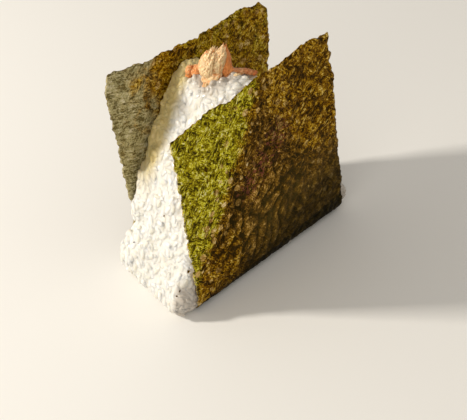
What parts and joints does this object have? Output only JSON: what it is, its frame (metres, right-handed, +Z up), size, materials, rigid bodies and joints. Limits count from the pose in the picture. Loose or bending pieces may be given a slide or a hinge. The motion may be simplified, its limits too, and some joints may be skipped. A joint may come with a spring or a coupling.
{
  "type": "onigiri rice ball",
  "caption": "Triangular rice ball in a folded strip of seaweed that stands up against both faces, bare on its slanted sides, with flaked fish on the peak.",
  "frame": {"origin": "middle of the flat underside of the seaweed strip, on which the rice ball stands", "axes": "+X along the base of the triangle, +Y through the thickness from the front sheet to the back sheet, +Z up to the peak"},
  "size_m": [0.0855, 0.0414, 0.0808],
  "materials": {
    "rice": "moist cooked rice, warm white, small glossy highlights",
    "nori": "dried seaweed, dark olive green, crinkled, slightly glossy and translucent",
    "salmon": "cooked fish flakes, pale orange, fibrous",
    "salmon_dark": "cooked fish flake, reddish brown"
  },
  "bodies": {
    "root": {"rice": "rice", "nori_wrap": "nori", "salmon_chunk": "salmon", "salmon_flake_left": "salmon", "salmon_flake_right": "salmon_dark"}
  },
  "joints": []
}
